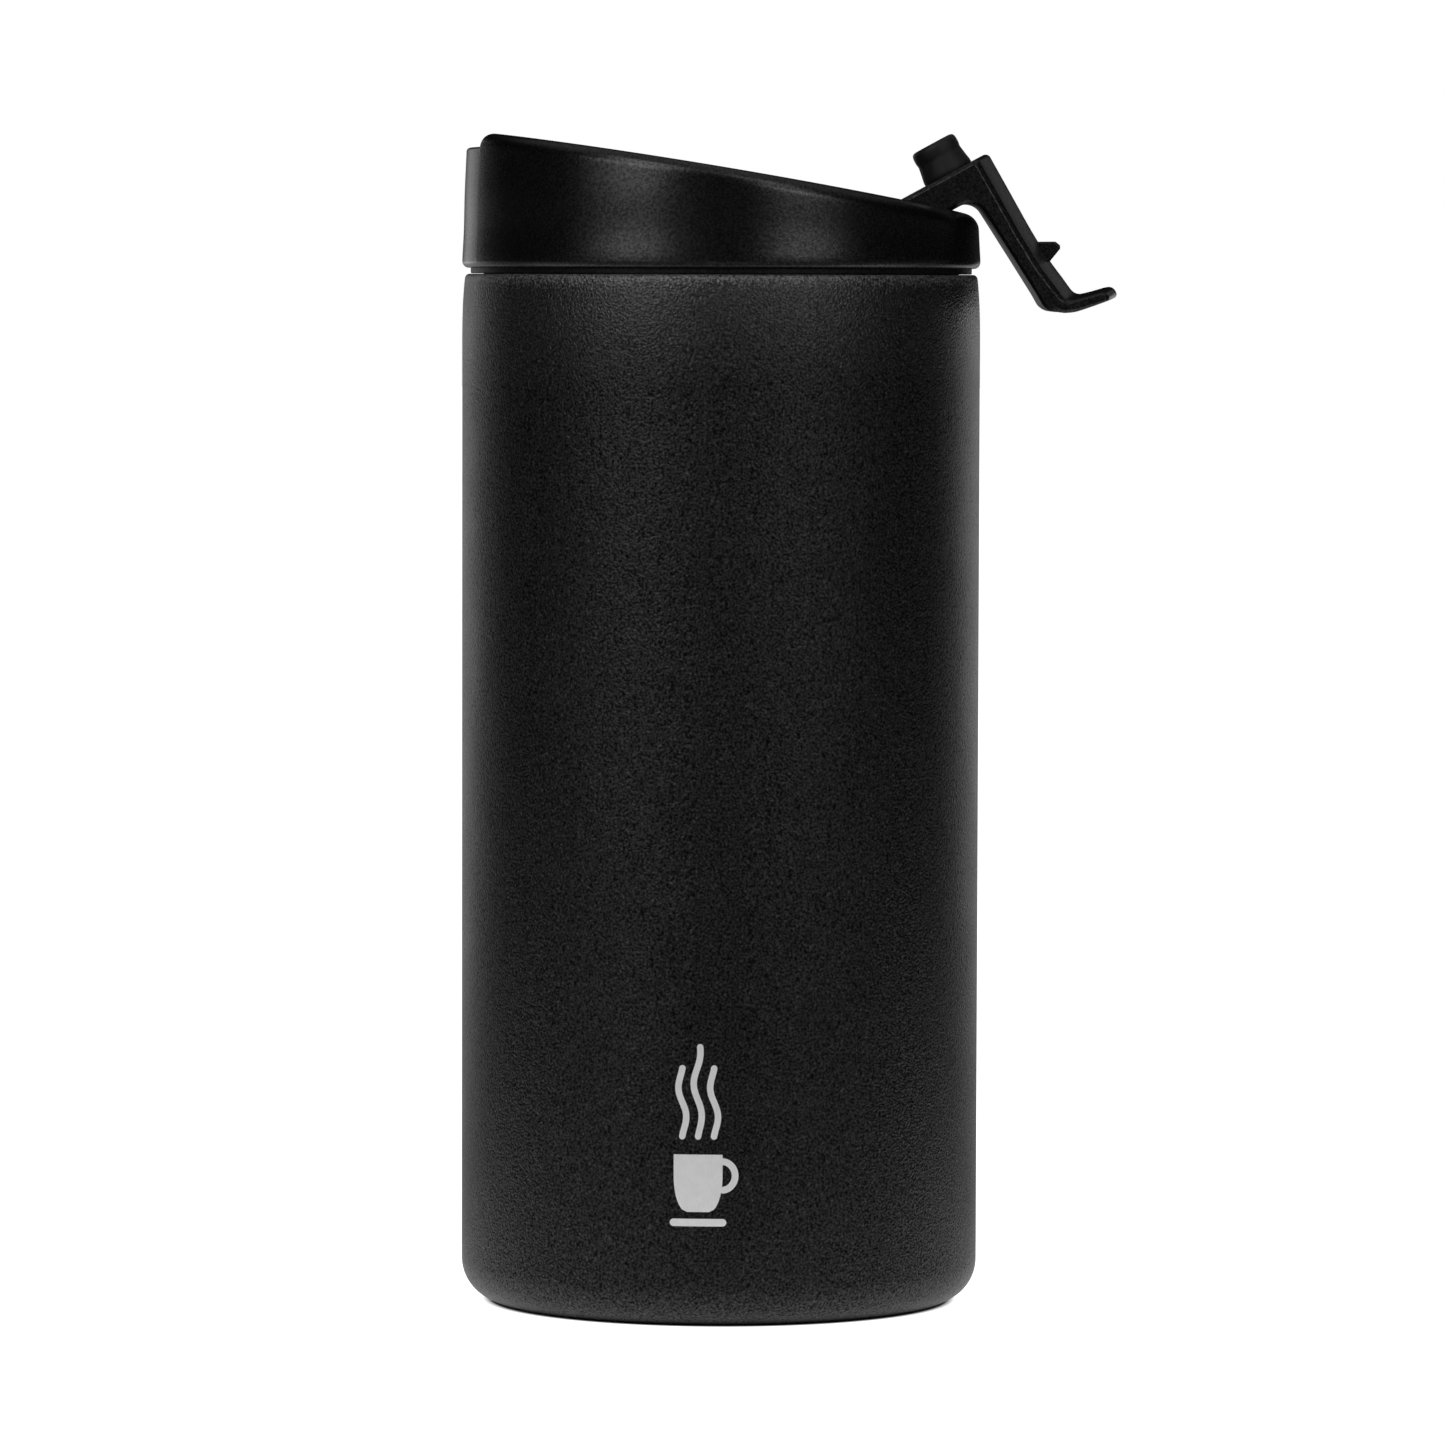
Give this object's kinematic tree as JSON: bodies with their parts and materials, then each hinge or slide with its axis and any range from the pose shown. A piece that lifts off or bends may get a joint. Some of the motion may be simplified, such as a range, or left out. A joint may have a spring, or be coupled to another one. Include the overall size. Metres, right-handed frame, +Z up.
{
  "type": "insulated travel mug",
  "caption": "Straight black insulated travel mug with a press-in slanted lid and a flip lever, folded open, that carries the drinking stopper.",
  "frame": {"origin": "centre of the base, on the surface that the mug stands on", "axes": "+Z up along the cup's axis; -X towards the drinking side, where the rim is highest; +X towards the side that the lever folds out over; the lever's hinge runs along Y"},
  "size_m": [0.0884, 0.07, 0.1578],
  "materials": {
    "powder_coat": "fine-grained matt black powder coat",
    "liner_steel": "brushed and electropolished stainless steel",
    "foil": "bright copper-toned foil",
    "raw_steel": "plain pressed stainless steel",
    "solder": "dull sealing metal",
    "base_plastic": "fine-textured matt black plastic",
    "lid_plastic": "smooth satin black plastic",
    "lever_plastic": "lightly textured satin black plastic",
    "silicone": "matt black silicone",
    "pin_steel": "drawn stainless steel"
  },
  "bodies": {
    "cup": {"outer_shell": "powder_coat", "inner_liner": "liner_steel", "liner_foil": "foil", "getter_capsule": "raw_steel", "vacuum_base": "raw_steel", "seal_bead": "solder", "base_cap": "base_plastic"},
    "lid": {"lid_shell": "lid_plastic", "lid_plug": "lid_plastic", "lid_gasket": "silicone", "hinge_pin": "pin_steel"},
    "lever": {"lever_arm": "lever_plastic", "drink_stopper": "silicone", "vent_plug": "silicone"}
  },
  "joints": [
    {"name": "lid_lift", "type": "slide", "parent": "cup", "child": "lid", "axis": [0, 0, 1], "range_m": [0, 0.045]},
    {"name": "lever_flip", "type": "hinge", "parent": "lid", "child": "lever", "pos_m": [0.0058, 0, 0.136], "axis": [0, -1, 0], "range_deg": [0, 151]}
  ]
}
